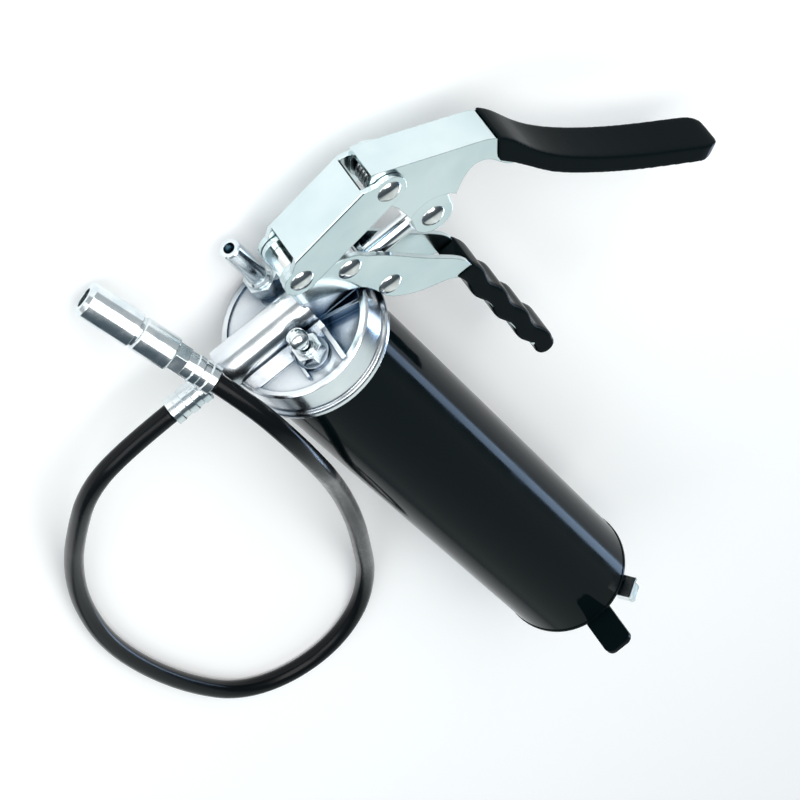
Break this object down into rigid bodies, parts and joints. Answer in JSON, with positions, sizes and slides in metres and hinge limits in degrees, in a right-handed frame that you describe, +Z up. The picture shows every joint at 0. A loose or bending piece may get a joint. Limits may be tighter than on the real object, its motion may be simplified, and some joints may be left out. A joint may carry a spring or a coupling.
{
  "type": "grease gun",
  "caption": "Lever grease gun: black tube barrel, cast head, plated linkage with two vinyl grips, and a flexible hose with a nipple coupler, lying on its side.",
  "frame": {"origin": "middle of the base of the gun's own box, on the surface it lies on, the hose left out", "axes": "+X along the barrel from the head to the tail, +Y along the pump from the hose outlet to the handles, +Z up, along the pivot pins"},
  "size_m": [0.3687, 0.3313, 0.0768],
  "materials": {
    "cast_head": "bright cast, machined faces",
    "black_enamel": "gloss black enamel",
    "plated_sheet": "bright nickel plate",
    "plated_pins": "bright plate, domed heads",
    "black_vinyl": "gloss dipped vinyl",
    "ground_steel": "ground and polished",
    "zinc_fittings": "bright zinc plate",
    "spring_steel": "drawn spring wire",
    "plain_steel": "pressed steel",
    "black_rubber": "satin black"
  },
  "bodies": {
    "gun": {"head": "cast_head", "barrel": "black_enamel", "barrel_gasket": "black_rubber", "end_cap": "black_enamel", "bracket_plate_upper": "plated_sheet", "bracket_plate_lower": "plated_sheet", "bracket_rivets": "plated_pins", "fixed_grip": "black_vinyl", "gland_nut": "zinc_fittings", "gland_packing": "black_rubber", "check_seat": "plain_steel", "check_spring": "spring_steel", "outlet_adapter": "zinc_fittings", "filler_fitting": "zinc_fittings", "bleeder_body": "zinc_fittings", "main_spring": "spring_steel", "latch_screw": "plated_pins", "hose": "black_rubber", "outlet_ferrule": "zinc_fittings", "end_ferrule": "zinc_fittings", "coupler_adapter": "zinc_fittings", "coupler_body": "zinc_fittings", "coupler_nose": "zinc_fittings", "coupler_jaws": "zinc_fittings", "coupler_seal": "black_rubber", "coupler_spring": "spring_steel"},
    "link": {"link": "plated_sheet", "link_pin": "plated_pins", "lever_pin": "plated_pins", "return_spring": "spring_steel"},
    "lever": {"lever": "plated_sheet", "lever_grip": "black_vinyl", "plunger_pin": "plated_pins"},
    "plunger": {"plunger": "ground_steel"},
    "follower": {"follower_rod": "ground_steel", "follower_nut": "zinc_fittings", "follower_front_plate": "plain_steel", "follower_cup": "black_rubber", "follower_rear_plate": "plain_steel", "rod_handle": "black_enamel"},
    "latch": {"rod_latch": "zinc_fittings"},
    "bleeder": {"bleeder_stem": "zinc_fittings"},
    "check_ball": {"check_ball": "ground_steel"},
    "filler_ball": {"filler_ball": "ground_steel"}
  },
  "joints": [
    {"name": "link_swing", "type": "hinge", "parent": "gun", "child": "link", "pos_m": [-0.15595, -0.04822, 0.0328], "axis": [0, 0, -1], "range_deg": [0, 0.7]},
    {"name": "lever_squeeze", "type": "hinge", "parent": "link", "child": "lever", "pos_m": [-0.16495, -0.00202, 0.0328], "axis": [0, 0, -1], "range_deg": [0, 21.8], "stiffness_Nm_per_rad": 0.6, "springref_deg": -20.05, "deforming": ["return_spring"]},
    {"name": "plunger_stroke", "type": "slide", "parent": "gun", "child": "plunger", "axis": [0, -1, 0], "range_m": [0, 0.0152]},
    {"name": "follower_pull", "type": "slide", "parent": "gun", "child": "follower", "axis": [1, 0, 0], "range_m": [0, 0.2], "stiffness_N_per_m": 110, "springref_m": -0.12, "deforming": ["main_spring"]},
    {"name": "latch_press", "type": "slide", "parent": "gun", "child": "latch", "axis": [0, -0.5878, -0.809], "range_m": [0, 0.0015], "stiffness_N_per_m": 400, "springref_m": -0.001},
    {"name": "bleeder_pull", "type": "slide", "parent": "gun", "child": "bleeder", "axis": [-1, 0, 0], "range_m": [0, 0.0015], "stiffness_N_per_m": 400, "springref_m": -0.001},
    {"name": "check_lift", "type": "slide", "parent": "gun", "child": "check_ball", "axis": [0, -1, 0], "range_m": [0, 0.001], "stiffness_N_per_m": 200, "springref_m": -0.001, "deforming": ["check_spring"]},
    {"name": "filler_lift", "type": "slide", "parent": "gun", "child": "filler_ball", "axis": [1, 0, 0], "range_m": [0, 0.0015], "stiffness_N_per_m": 200, "springref_m": -0.001}
  ],
  "couplings": [
    {"joint": "link_swing", "follows": "lever_squeeze", "ratio": 0.03},
    {"joint": "plunger_stroke", "follows": "lever_squeeze", "m_per_rad": 0.03873}
  ]
}
